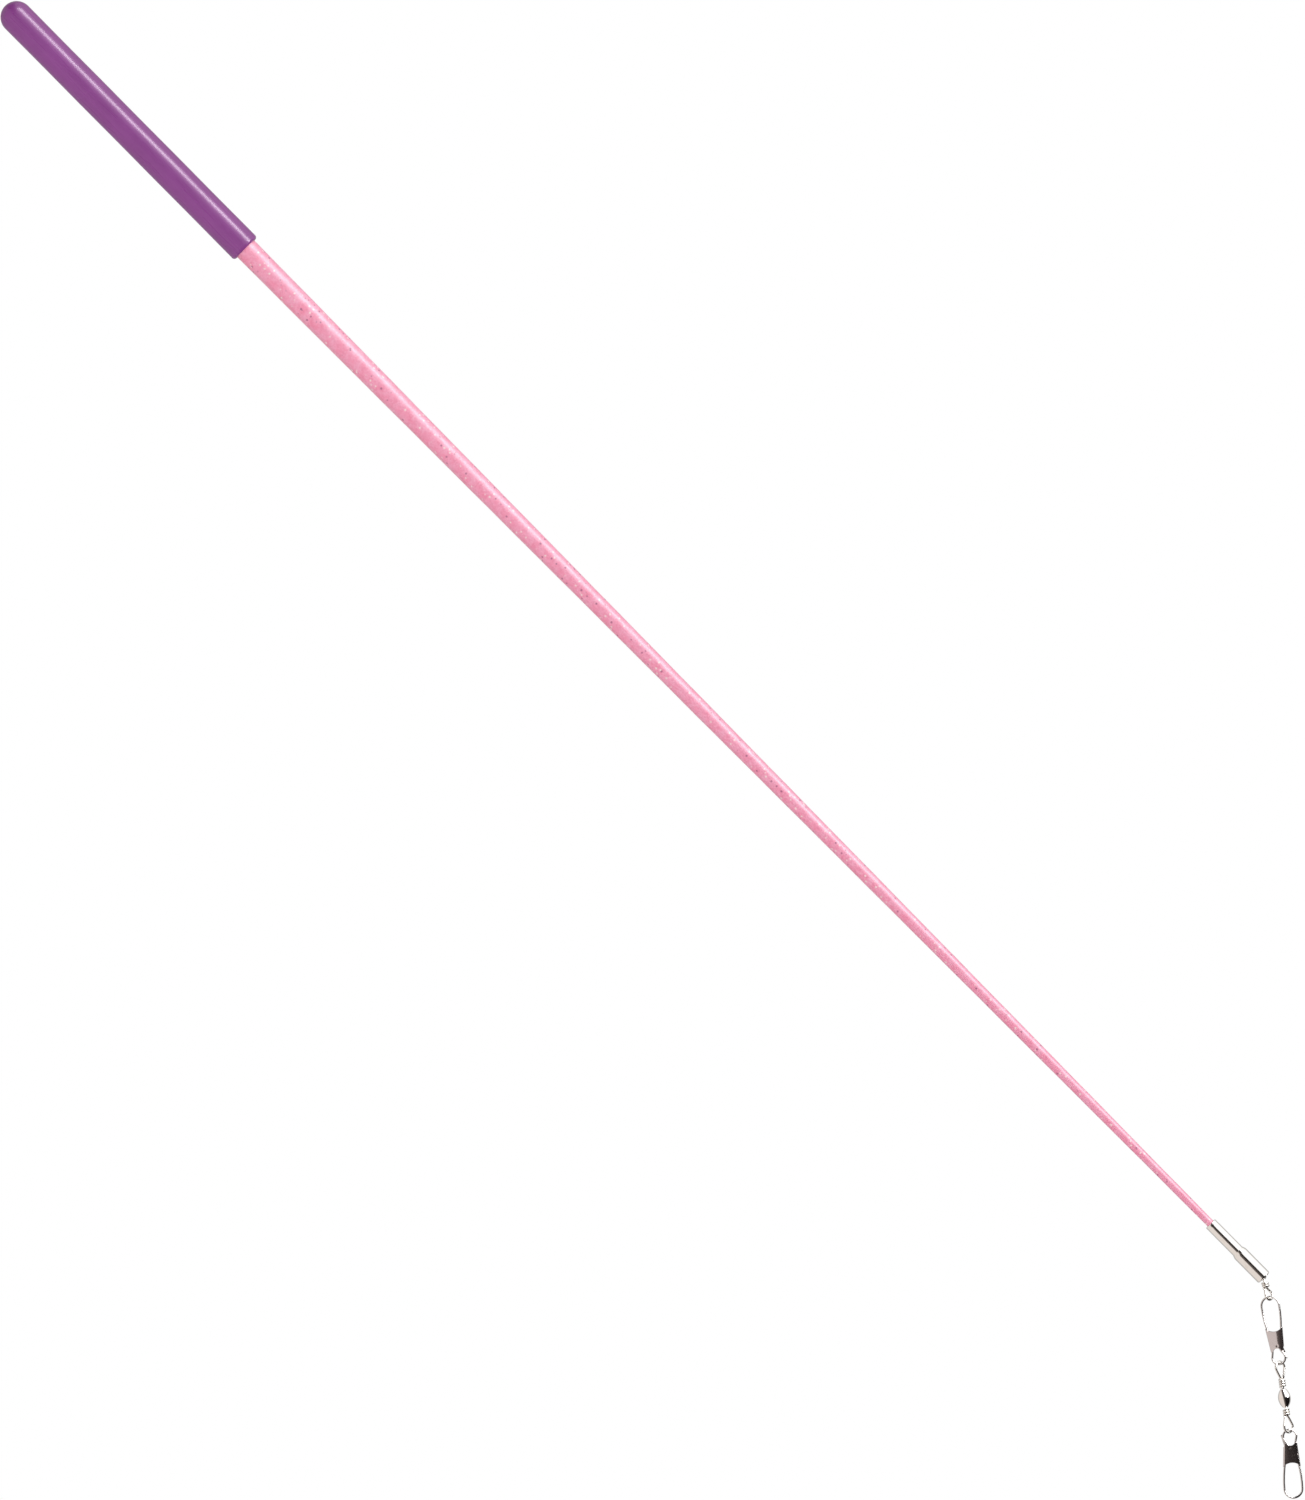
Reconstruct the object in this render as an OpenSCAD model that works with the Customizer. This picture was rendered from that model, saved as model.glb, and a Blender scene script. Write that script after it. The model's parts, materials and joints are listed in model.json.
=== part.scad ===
// Rhythmic gymnastics ribbon stick: a tapered rod in a sleeve grip, with a ball-jointed tip
// and a chain of snap, barrel swivel and snap that carries the ribbon.
// Millimetres, +Z up. The origin is the centre of the grip. The stick runs down towards +X in the
// XZ plane, held by its grip, and the chain hangs from its tip.

/* [Grip and rod] */
// Length of the grip, from its domed end to its mouth
grip_l = 100; // [80:1:110]
// Outside diameter of the grip
grip_d = 9.5; // [8.5:0.1:10]
// Rounding of the grip's outer edge at its mouth
grip_lip = 0.9; // [0.3:0.1:1]
// Thickness of the grip's closed end
grip_end_wall = 5; // [2:0.5:8]
// Diameter of the rod inside the grip
rod_d = 7; // [5:0.1:7.4]
// Diameter of the rod at its tip
rod_tip_d = 2.35; // [1.8:0.05:2.9]
// Length of rod that shows between the grip and the ferrule
rod_l = 401; // [340:1:450]

/* [Ferrule] */
// Outside diameter of the sleeve on the rod's tip
sleeve_d = 3.75; // [3.5:0.05:3.9]
// Length of sleeve that shows behind the cap
sleeve_l = 11.4; // [9:0.1:14]
// Outside diameter of the cap
cap_d = 4.55; // [4.4:0.05:5]
// Length of the cap
cap_l = 10.9; // [10:0.1:12]
// Diameter of the ball in the cap
ball_d = 2.4; // [2.2:0.05:2.5]

/* [Tip eye] */
// Diameter of the tip eye's wire
tip_wire_d = 0.7; // [0.6:0.02:0.72]
// Distance from the ball's centre to the wire at the far end of the loop
tip_l = 7.25; // [6.8:0.05:7.5]
// Width of the loop between its wire centres
tip_eye_w = 3; // [2.8:0.1:3.4]
// Turns of wire round the neck
tip_turns = 2; // [1.2:0.1:2.2]

/* [Snaps] */
// Diameter of the snap wire
snap_wire_d = 0.6; // [0.56:0.02:0.62]
// Radius of the large loop's round end, to the wire's centre
bend_r = 2.62; // [2.6:0.02:2.8]
// Radius of the small loop, to the wire's centre
small_r = 1.95; // [1.95:0.01:2.1]
// Distance between the centres of the two round ends
snap_l = 15.35; // [15.3:0.05:15.5]
// Thickness of the snap's sheet metal
sheet_t = 0.2; // [0.18:0.01:0.22]

/* [Barrel swivel] */
// Diameter of the swivel's eye wire
eye_wire_d = 0.66; // [0.6:0.02:0.7]
// Width of each eye between its wire centres
eye_w = 3.4; // [3.2:0.1:3.6]
// Turns of wire round the upper eye's neck
upper_turns = 3.5; // [2:0.1:3.5]
// Turns of wire round the lower eye's neck
lower_turns = 2.8; // [2:0.1:3]
// Length of the barrel
barrel_l = 5.4; // [5.2:0.1:5.6]
// Diameter of the barrel at its middle
barrel_d = 3.7; // [3.6:0.1:4.2]
// Diameter of the barrel at its ends
barrel_end_d = 1.5; // [1.4:0.05:1.8]
// Distance from the barrel's middle to the centre of the upper snap's small loop
swivel_up = 11.95; // [11.9:0.05:12.4]
// Distance from the barrel's middle to the centre of the lower snap's small loop
swivel_down = 11.3; // [11.2:0.05:11.8]

/* [Rest pose] */
// Slope of the stick below the horizontal
stick_slope = 51.3; // [30:0.1:70]
// Lean of the tip eye from straight down, towards the stick's far side
tip_lean = 12.8; // [5:0.1:16]
// Place round the upper snap's bend, from straight up, where the tip eye crosses it
tip_contact = 8; // [0:1:15]
// Lean of the upper snap from straight down
upper_lean = 3.3; // [-5:0.1:8]
// Turn of the upper snap about its own length
upper_turn = -14; // [-15:1:0]
// Lean of the barrel swivel from straight down
swivel_lean = 2; // [-5:0.1:8]
// Lean of the lower snap from straight down
lower_lean = -2; // [-8:0.1:5]

/* [Hidden] */
$fn = 48;

// Running clearances: of a shank in its hole, of the ball in its socket, and of linked wires
shank_gap = 0.05;
ball_gap = 0.05;
link_gap = 0.14;
// Play of a wrap round its shank, and of one turn beside the next
wrap_gap = 0.08;
turn_gap = 0.04;
// Length that one stretch of a wire runs on inside the next, and how much thinner the swept stretches are
bury = 0.3;
sweep_inset = 0.02;
// How much thicker a straight shank is than its wire, in radius
shank_extra = 0.01;
// Turn of each eye's loop about its shank, from the plane of the stick and the chain
tip_eye_turned = -50;
upper_eye_turned = 40;
lower_eye_turned = -40;

tip_s = grip_l / 2 + rod_l + sleeve_l + cap_l;
sleeve_s = grip_l / 2 + rod_l;
cap_s = sleeve_s + sleeve_l;
// Depth of the ball's centre behind the cap's end face
ball_depth = 0.7;
ball_s = tip_s - ball_depth;
// Length of rod inside the sleeve, and of sleeve inside the cap
rod_in_sleeve = 10.6;
sleeve_in_cap = 6.4;
cap_cone_l = 0.9;
cap_edge = 0.4;
cap_end_wall = 1.2;

tip_r = tip_wire_d / 2;
eye_r = eye_wire_d / 2;
snap_r = snap_wire_d / 2;

// Places of the links, one hanging from the next
function down(lean) = [sin(lean), 0, -cos(lean)];
ball_at = ball_s * [cos(stick_slope), 0, -sin(stick_slope)];
tip_cross = bend_r - tip_r - snap_r - link_gap;
upper_at = ball_at + tip_l * down(tip_lean) + tip_cross * down(-tip_contact);
upper_small_at = upper_at + snap_l * down(upper_lean);
swivel_at = upper_small_at + swivel_up * down(swivel_lean);
lower_small_at = swivel_at + swivel_down * down(swivel_lean);
lower_at = lower_small_at + snap_l * down(lower_lean);

// ---- Wires -------------------------------------------------------------------------------

function unit(v) = v / norm(v);
function square_to(n, t) = unit(n - (n * t) * t);

// Direction of a row of points at point i
function tangent(p, i) = unit(p[min(i + 1, len(p) - 1)] - p[max(i - 1, 0)]);

// A side direction at each point, carried along from the first so that the tube doesn't twist
function sides_along(p, n0) = [
    for (i = 0, n = square_to(n0, tangent(p, 0)); i < len(p); i = i + 1,
         n = i < len(p) ? square_to(n, tangent(p, i)) : n) n];

// A smooth row of points through p, with the given number of steps between neighbours
function between(a, b, c, d, t) =
    0.5 * (2 * b + (c - a) * t + (2 * a - 5 * b + 4 * c - d) * t ^ 2 + (3 * b - a - 3 * c + d) * t ^ 3);
function smooth(p, steps) = [
    for (i = [0 : len(p) - 2], s = [0 : steps - 1])
        between(p[max(i - 1, 0)], p[i], p[i + 1], p[min(i + 2, len(p) - 1)], s / steps),
    p[len(p) - 1]];

// Points of an arc in the XZ plane, from angle a to angle b
function arc(centre, r, a, b, steps) = [
    for (k = [0 : steps])
        let (angle = a + (b - a) * k / steps)
        centre + r * [cos(angle), 0, sin(angle)]];

// A closed tube of radius r round a row of points
module tube(p, r, sides = 8) {
    last = len(p) - 1;
    n = sides_along(p, [0, 1, 0.01]);
    ring = [for (i = [0 : last], k = [0 : sides - 1])
        let (b = cross(tangent(p, i), n[i]), angle = 360 * k / sides)
        p[i] + r * (cos(angle) * n[i] + sin(angle) * b)];
    walls = [for (i = [0 : last - 1], k = [0 : sides - 1])
        let (a = i * sides + k, b = i * sides + (k + 1) % sides)
        each [[a, a + sides, b], [b, a + sides, b + sides]]];
    ends = [[for (k = [0 : sides - 1]) k], [for (k = [sides - 1 : -1 : 0]) last * sides + k]];
    polyhedron(ring, concat(walls, ends));
}

// A bent round wire in the XZ plane, from angle a to angle b round the origin
module bend(r, wire_r, a, b) {
    rotate([90, 0, 0])
        rotate([0, 0, a])
            rotate_extrude(angle = b - a)
                translate([r, 0])
                    circle(wire_r);
}

// ---- Stick -------------------------------------------------------------------------------

// Puts a part that is drawn along +Z, from the centre of the grip to the tip, on the stick
module on_stick() {
    rotate([0, 90 + stick_slope, 0])
        children();
}

module grip() {
    dome_s = -grip_l / 2 + grip_d / 2;
    mouth_s = grip_l / 2;
    color("mediumorchid")
        on_stick()
            difference() {
                union() {
                    translate([0, 0, dome_s])
                        sphere(d = grip_d);
                    translate([0, 0, dome_s])
                        cylinder(d = grip_d, h = mouth_s - grip_lip - dome_s);
                    translate([0, 0, mouth_s - grip_lip])
                        rotate_extrude()
                            intersection() {
                                union() {
                                    square([grip_d / 2 - grip_lip, grip_lip]);
                                    translate([grip_d / 2 - grip_lip, 0])
                                        circle(grip_lip);
                                }
                                square([grip_d, grip_lip]);
                            }
                }
                translate([0, 0, -grip_l / 2 + grip_end_wall])
                    cylinder(d = rod_d, h = grip_l);
            }
}

module rod() {
    butt_s = -grip_l / 2 + grip_end_wall;
    butt_edge = 0.5;
    color("hotpink")
        on_stick() {
            translate([0, 0, butt_s])
                cylinder(d1 = rod_d - 2 * butt_edge, d2 = rod_d, h = butt_edge);
            translate([0, 0, butt_s + butt_edge])
                cylinder(d = rod_d, h = grip_l / 2 - butt_s - butt_edge);
            translate([0, 0, grip_l / 2])
                cylinder(d1 = rod_d, d2 = rod_tip_d, h = rod_l);
            translate([0, 0, sleeve_s])
                cylinder(d = rod_tip_d, h = rod_in_sleeve);
        }
}

module ferrule_sleeve() {
    color("silver")
        on_stick()
            translate([0, 0, sleeve_s])
                difference() {
                    cylinder(d = sleeve_d, h = sleeve_l + sleeve_in_cap);
                    translate([0, 0, -1])
                        cylinder(d = rod_tip_d, h = rod_in_sleeve + 1);
                }
}

module ferrule_cap() {
    color("gainsboro")
        on_stick()
            difference() {
                translate([0, 0, cap_s])
                    rotate_extrude()
                        cap_outline();
                translate([0, 0, cap_s - 1])
                    cylinder(d = sleeve_d, h = cap_l - cap_end_wall + 1);
                translate([0, 0, cap_s])
                    cylinder(r = ball_d / 2 + ball_gap, h = ball_s - cap_s);
                translate([0, 0, ball_s])
                    sphere(r = ball_d / 2 + ball_gap);
            }
}

// Half of the cap's section: a short cone, then the wide part with a rounded end
module cap_outline() {
    cone_edge = 0.08;
    polygon([[0, 0], [sleeve_d / 2 + cone_edge, 0], [cap_d / 2, cap_cone_l], [cap_d / 2, cap_l - cap_edge],
             [cap_d / 2 - cap_edge, cap_l - cap_edge], [cap_d / 2 - cap_edge, cap_l], [0, cap_l]]);
    intersection() {
        translate([cap_d / 2 - cap_edge, cap_l - cap_edge])
            circle(cap_edge);
        translate([cap_d / 2 - cap_edge, cap_l - cap_edge])
            square(cap_edge);
    }
}

// ---- Eyes --------------------------------------------------------------------------------

// Puts a part that is drawn hanging from the origin at a link's place, leaning from straight down
module hang(at, lean) {
    translate(at)
        rotate([0, -lean, 0])
            children();
}

// An eye of wire, drawn along +Z: a headed shank on the axis, a loop that ends with its wire's centre
// at top_z, and the wire's end wrapped round the shank from wrap_z down. The loop lies in the XZ plane.
module wire_eye(wire_r, loop_w, head_z, head_r, head_h, wrap_z, turns, top_z) {
    wrap_r = 2 * wire_r + wrap_gap;
    loop_r = loop_w / 2;
    loop_z = top_z - loop_r;
    turn_steps = 12;
    first_turn = 40;
    shank_top = wrap_z - 0.25;
    // Out of the shank to one side, round the loop past both its sides, and back to the first turn
    leg = [[0, 0, shank_top - bury], [0, 0, wrap_z - 0.1], [-0.3 * loop_r, 0, wrap_z + 0.5]];
    loop = arc([0, 0, loop_z], loop_r, 195, -15, 14);
    back = [[wrap_r + 0.05, 0.08, wrap_z + 0.42]];
    wrap = [for (k = [0 : ceil(turns * turn_steps)])
        let (angle = first_turn + min(k / turn_steps, turns) * 360)
        [wrap_r * cos(angle), wrap_r * sin(angle),
         wrap_z - (2 * wire_r + turn_gap) * (angle - first_turn) / 360]];
    tube(concat(smooth(concat(leg, loop, back, [wrap[0]]), 2), [for (k = [1 : len(wrap) - 1]) wrap[k]]),
         wire_r);
    translate([0, 0, head_z])
        cylinder(r = wire_r + shank_extra, h = shank_top - head_z);
    translate([0, 0, head_z])
        cylinder(r = head_r, h = head_h);
}

module ball() {
    color("gray")
        hang(ball_at, tip_lean)
            difference() {
                sphere(d = ball_d);
                cylinder(r = tip_r + shank_extra + shank_gap, h = 2 * ball_d, center = true);
            }
}

module tip_eye() {
    head_h = 0.4;
    head_r = 0.65;
    head_z = -ball_d / 2 - 0.05 - head_h;
    // The wrap ends just outside the ferrule's cap
    wrap_end_z = 1.75 + tip_r;
    color("silver")
        hang(ball_at, tip_lean)
            rotate([0, 180, 0])
                rotate([0, 0, tip_eye_turned])
                    wire_eye(tip_r, tip_eye_w, head_z, head_r, head_h,
                             wrap_end_z + tip_turns * (tip_wire_d + turn_gap), tip_turns, tip_l);
}

// ---- Snaps -------------------------------------------------------------------------------

// A snap is drawn with the centre of its large loop's round end at the origin and its small loop
// below. The gate, the springy leg that opens, is on the +X side.
plate_top = -6.65;
plate_bottom = -13.35;
// Half the distance between the wires at the plate's top, and at its bottom
wires_top = 2.06;
wires_bottom = 1.5;
function wires_at(z) = wires_top + (wires_bottom - wires_top) * (z - plate_top) / (plate_bottom - plate_top);
plate_taper = atan((wires_top - wires_bottom) / (plate_top - plate_bottom));
// Room for a wire inside a rolled edge
edge_r = snap_r + 0.04;
// How far the gate's ball and the fixed wire's end stay apart, as an angle round the bend
gate_gap_angle = 9;
// A leg of the snap from below its round end down into the plate, on the gate's side
shoulder = [[2.6, 0, -2.2], [2.45, 0, -4.2], [2.2, 0, -6.1]];
in_plate = [for (z = [-7.4, -9.8, -12.2]) [wires_at(z), 0, z]];
function mirrored(p) = [for (i = [len(p) - 1 : -1 : 0]) [-p[i].x, p[i].y, p[i].z]];

// The fixed wire: its tail inside the plate, the small loop, one leg and the round end
module snap_wire() {
    small_at = [0, 0, -snap_l];
    tail_from = 32;
    tail = [[0.35, 0, -9.6], [0.42, 0, -11], [0.66, 0, -12.3], [1.08, 0, -13.45]];
    tube(smooth(concat(tail, arc(small_at, small_r, tail_from, tail_from - 15, 1)), 4), snap_r - sweep_inset);
    tube(smooth(concat(arc(small_at, small_r, -170, -185, 1), [[-wires_bottom, 0, plate_bottom]],
                       mirrored(concat(shoulder, in_plate)), arc([0, 0, 0], bend_r, 180, 170, 1)), 4),
         snap_r - sweep_inset);
    translate(small_at)
        bend(small_r, snap_r, -180, tail_from - 8);
    bend(bend_r, snap_r, gate_gap_angle, 180);
}

// The springy leg: down into the plate, then out behind the small loop to a hooked end
module snap_gate() {
    knee = [bend_r, 0, -1.1];
    hook_y = 0.7;
    hook = [[1.66, 0.2, -13.05], [1.85, 0.52, -13.9], [2.04, hook_y - 0.02, -14.7], [2.16, hook_y, -15.3],
            [2.27, hook_y, -15.6], [2.43, hook_y, -15.76]];
    tube(smooth(concat([[bend_r, 0, 0], knee], shoulder, in_plate, hook), 3), snap_r - sweep_inset);
    translate([bend_r, 0, 0])
        sphere(snap_r);
}

// One rolled edge of the plate, as a half tube along the wire's line. side is 1 or -1, the sheet runs
// from the front, round the outside, to the angle until, and it starts at the height low over the
// plate's lower end.
module rolled_edge(side, until, low) {
    length = plate_top - plate_bottom;
    translate([side * wires_bottom, 0, plate_bottom])
        rotate([0, side * plate_taper, 0])
            intersection() {
                difference() {
                    translate([0, 0, low])
                        cylinder(r = edge_r + sheet_t, h = length + 0.2 - low);
                    translate([0, 0, -1])
                        cylinder(r = edge_r, h = length + 2);
                }
                translate([0, 0, -1])
                    linear_extrude(length + 2)
                        polygon([[0, 0], [0, -1], [side, -1], [side, 1 / tan(90 - until)],
                                 [side * (until > 60 ? 0 : 1), 1 / tan(90 - until)]]);
            }
}

// A flat sheet between two slanted edges, from y to y + t
module plate_sheet(y, t, left_top, right_top, left_bottom, right_bottom) {
    translate([0, y + t, 0])
        rotate([90, 0, 0])
            linear_extrude(t)
                polygon([[left_top, plate_top], [right_top, plate_top],
                         [right_bottom, plate_bottom], [left_bottom, plate_bottom]]);
}

// The plate: a front sheet, a flap behind it, and a rolled edge round each wire
module snap_plate() {
    inset = 0.02;
    front_y = -edge_r - sheet_t + inset;
    // Reach of the sheets past the wires' centres, and the flap's far edge at its top and its bottom
    reach = 0.1;
    flap_top = 0.85;
    flap_bottom = 0.5;
    top_arc_r = 2.8;
    top_deep_z = -7.65;
    bottom_arc_r = 2;
    bottom_deep_z = -12.6;
    dimple_r = 0.9;
    dimple_deep = 0.08;
    dimple_at = [0.25, front_y - dimple_r + dimple_deep, -11.9];
    difference() {
        union() {
            plate_sheet(front_y, sheet_t - 2 * inset, -wires_top - reach, wires_top + reach,
                        -wires_bottom - reach, wires_bottom + reach);
            plate_sheet(edge_r + inset, sheet_t - 2 * inset, -wires_top - reach, flap_top,
                        -wires_bottom - reach, flap_bottom);
            rolled_edge(-1, 89.9, -0.2);
            rolled_edge(1, 45, 1);
        }
        for (cut = [[top_deep_z + top_arc_r, top_arc_r], [bottom_deep_z - bottom_arc_r, bottom_arc_r]])
            translate([0, 0, cut[0]])
                rotate([90, 0, 0])
                    cylinder(r = cut[1], h = 4, center = true);
        translate(dimple_at)
            sphere(dimple_r);
    }
}

module upper_snap() {
    hang(upper_at, upper_lean)
        rotate([0, 0, upper_turn])
            children();
}

module lower_snap() {
    hang(lower_at, lower_lean)
        rotate([0, 180, 0])
            children();
}

module upper_snap_wire() {
    color("darkgray")
        upper_snap()
            snap_wire();
}

module upper_snap_gate() {
    color("dimgray")
        upper_snap()
            snap_gate();
}

module upper_snap_plate() {
    color("rosybrown")
        upper_snap()
            snap_plate();
}

module lower_snap_wire() {
    color("darkgray")
        lower_snap()
            snap_wire();
}

module lower_snap_gate() {
    color("dimgray")
        lower_snap()
            snap_gate();
}

module lower_snap_plate() {
    color("rosybrown")
        lower_snap()
            snap_plate();
}

// ---- Barrel swivel -----------------------------------------------------------------------

// An eye that reaches to a small loop whose centre is the given distance from the barrel's middle, with
// its loop turned from the XZ plane
module swivel_eye(reach, turns, turned) {
    head_z = 0.4;
    head_r = 0.8;
    head_h = 0.5;
    wrap_play = 0.15;
    top_z = reach - (small_r - eye_r - snap_r - link_gap);
    wrap_z = barrel_l / 2 + wrap_play + eye_r + turns * (eye_wire_d + turn_gap);
    rotate([0, 0, turned])
        wire_eye(eye_r, eye_w, head_z, head_r, head_h, wrap_z, turns, top_z);
}

// The shell is turned from an arc, so that it is widest at its middle
module swivel_barrel() {
    half = barrel_l / 2;
    rise = (barrel_d - barrel_end_d) / 2;
    arc_r = (half ^ 2 + rise ^ 2) / (2 * rise);
    wall = 0.4;
    end_wall = 1.1;
    color("silver")
        hang(swivel_at, swivel_lean)
            difference() {
                rotate_extrude()
                    barrel_section(half, arc_r, barrel_d / 2);
                rotate_extrude()
                    barrel_section(half - end_wall, arc_r - wall, barrel_d / 2 - wall);
                cylinder(r = eye_r + shank_extra + shank_gap, h = 2 * barrel_l, center = true);
            }
}

// Half of a section that is bounded by an arc of radius r, out to reach from the axis
module barrel_section(half, r, reach) {
    intersection() {
        translate([reach - r, 0])
            circle(r);
        translate([0, -half])
            square([reach + 1, 2 * half]);
    }
}

module swivel_upper_eye() {
    color("lightgray")
        hang(swivel_at, swivel_lean)
            swivel_eye(swivel_up, upper_turns, upper_eye_turned);
}

module swivel_lower_eye() {
    color("lightgray")
        hang(swivel_at, swivel_lean)
            rotate([0, 180, 0])
                swivel_eye(swivel_down, lower_turns, lower_eye_turned);
}

grip();
rod();
ferrule_sleeve();
ferrule_cap();
ball();
tip_eye();
upper_snap_wire();
upper_snap_gate();
upper_snap_plate();
swivel_upper_eye();
swivel_barrel();
swivel_lower_eye();
lower_snap_wire();
lower_snap_gate();
lower_snap_plate();
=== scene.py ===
"""Looks of a rhythmic gymnastics ribbon stick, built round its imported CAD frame.

Pieces are drawn in millimetres in the frame of their link, then placed in the row frame in metres:
the stick along +Z from the centre of its grip, and each link of the chain hanging from its joint.
"""

import json
import math

import bpy
import numpy as np
from mathutils import Matrix, Vector


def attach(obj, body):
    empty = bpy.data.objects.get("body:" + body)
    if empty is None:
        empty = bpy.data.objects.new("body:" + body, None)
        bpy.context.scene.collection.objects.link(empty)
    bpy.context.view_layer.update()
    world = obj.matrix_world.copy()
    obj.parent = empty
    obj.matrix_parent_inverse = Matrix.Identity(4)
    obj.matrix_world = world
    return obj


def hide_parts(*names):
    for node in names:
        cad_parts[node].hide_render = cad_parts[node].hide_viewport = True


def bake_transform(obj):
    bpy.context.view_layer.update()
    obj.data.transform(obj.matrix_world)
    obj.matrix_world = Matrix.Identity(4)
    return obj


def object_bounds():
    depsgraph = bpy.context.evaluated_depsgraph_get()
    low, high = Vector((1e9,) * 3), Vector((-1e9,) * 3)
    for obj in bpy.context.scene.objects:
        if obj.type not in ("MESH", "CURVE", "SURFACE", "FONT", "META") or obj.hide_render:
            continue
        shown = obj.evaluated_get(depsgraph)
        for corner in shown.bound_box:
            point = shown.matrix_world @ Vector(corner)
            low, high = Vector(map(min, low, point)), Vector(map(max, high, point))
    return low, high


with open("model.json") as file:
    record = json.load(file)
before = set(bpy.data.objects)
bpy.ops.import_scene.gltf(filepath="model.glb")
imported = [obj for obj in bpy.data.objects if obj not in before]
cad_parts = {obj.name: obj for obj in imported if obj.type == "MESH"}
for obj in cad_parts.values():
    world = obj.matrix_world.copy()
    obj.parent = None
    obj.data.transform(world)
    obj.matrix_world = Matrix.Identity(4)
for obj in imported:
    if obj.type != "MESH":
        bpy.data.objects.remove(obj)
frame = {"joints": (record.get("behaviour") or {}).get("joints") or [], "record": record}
CAD_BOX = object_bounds()

MM = 0.001

# ---- Sizes, in millimetres, as in the CAD model ------------------------------------------------

GRIP_L, GRIP_D, GRIP_LIP, GRIP_END_WALL = 100.0, 9.5, 0.9, 5.0
ROD_D, ROD_TIP_D, ROD_L = 7.0, 2.35, 401.0
SLEEVE_D, SLEEVE_L, SLEEVE_IN_CAP, ROD_IN_SLEEVE = 3.75, 11.4, 6.4, 10.6
CAP_D, CAP_L, CAP_CONE_L, CAP_END_WALL = 4.55, 10.9, 0.9, 1.2
BALL_D, BALL_DEPTH, BALL_GAP = 2.4, 0.7, 0.05
TIP_WIRE_D, TIP_L, TIP_EYE_W, TIP_TURNS = 0.7, 7.25, 3.0, 2.0
SNAP_WIRE_D, BEND_R, SMALL_R, SNAP_L, SHEET_T = 0.6, 2.62, 1.95, 15.35, 0.2
EYE_WIRE_D, EYE_W, UPPER_TURNS, LOWER_TURNS = 0.66, 3.4, 3.5, 2.8
BARREL_L, BARREL_D, BARREL_END_D = 5.4, 3.7, 1.5
SWIVEL_UP, SWIVEL_DOWN = 11.95, 11.3
TIP_EYE_TURNED, UPPER_EYE_TURNED, LOWER_EYE_TURNED = -50, 40, -40
LINK_GAP, WRAP_GAP, TURN_GAP, SHANK_GAP, SHANK_EXTRA = 0.14, 0.08, 0.04, 0.05, 0.01

GRIP_MOUTH = GRIP_L / 2
SLEEVE_START = GRIP_MOUTH + ROD_L
CAP_START = SLEEVE_START + SLEEVE_L
TIP_END = CAP_START + CAP_L
BALL_S = TIP_END - BALL_DEPTH

# ---- Places, from the frame ---------------------------------------------------------------------

JOINTS = {j["name"]: j for j in frame["joints"]}
MOUNTS = {m["name"]: m for m in frame["record"]["mounts"]}


def joint_at(name):
    return Vector(JOINTS[name]["pos_m"])


def joint_axis(name):
    return Vector(JOINTS[name]["axis"]).normalized()


def link_frame(at, up, across):
    """Matrix of a link drawn in millimetres: +Z along up, +Y along across, its origin at a metric point."""
    z = Vector(up).normalized()
    x = Vector(across).cross(z).normalized()
    y = z.cross(x)
    rows = Matrix((x, y, z)).transposed().to_4x4()
    return Matrix.Translation(Vector(at)) @ rows @ Matrix.Scale(MM, 4)


AWAY = Vector((0, 1, 0))
STICK_AXIS = -Vector(MOUNTS["hand_grip"]["axis"]).normalized()
STICK = link_frame((0, 0, 0), STICK_AXIS, AWAY)
TIP_AXIS = joint_axis("tip_spin")
TIP = link_frame(joint_at("tip_tilt"), TIP_AXIS, AWAY)
UPPER_AT = joint_at("upper_snap_swing")
UPPER_SNAP = link_frame(UPPER_AT, UPPER_AT - joint_at("upper_eye_swing"), joint_axis("upper_snap_swing"))
LOWER_AT = Vector(MOUNTS["ribbon_loop"]["pos_m"])
LOWER_SNAP = link_frame(LOWER_AT, LOWER_AT - joint_at("lower_snap_swing"), joint_axis("lower_snap_swing"))
SWIVEL_AT = joint_at("barrel_spin")
CHAIN_DOWN = joint_axis("barrel_spin")
SWIVEL_UPPER = link_frame(SWIVEL_AT, -CHAIN_DOWN, AWAY)
SWIVEL_LOWER = link_frame(SWIVEL_AT, CHAIN_DOWN, AWAY)

# ---- Mesh helpers -------------------------------------------------------------------------------


def add_piece(name, verts, faces, matrix, body, nodes, smooth_angle=35):
    """A mesh piece from points in a link's frame. body is a CAD body, or None where the piece is left
    unattached.
    """
    mesh = bpy.data.meshes.new(name)
    world = np.asarray(verts, float) @ np.array(matrix.to_3x3()).T + np.array(matrix.translation)
    mesh.from_pydata([tuple(v) for v in world], [], faces)
    mesh.validate()
    mesh.update()
    piece = bpy.data.objects.new(name, mesh)
    bpy.context.scene.collection.objects.link(piece)
    for polygon in mesh.polygons:
        polygon.use_smooth = True
    mesh.set_sharp_from_angle(angle=math.radians(smooth_angle))
    if body:
        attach(piece, body)
    if nodes:
        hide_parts(*nodes)
    return piece


def join_parts(parts):
    """Several (verts, faces) as one."""
    verts, faces = [], []
    for part_verts, part_faces in parts:
        base = len(verts)
        verts.extend([tuple(v) for v in part_verts])
        faces.extend([tuple(base + i for i in face) for face in part_faces])
    return verts, faces


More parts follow.
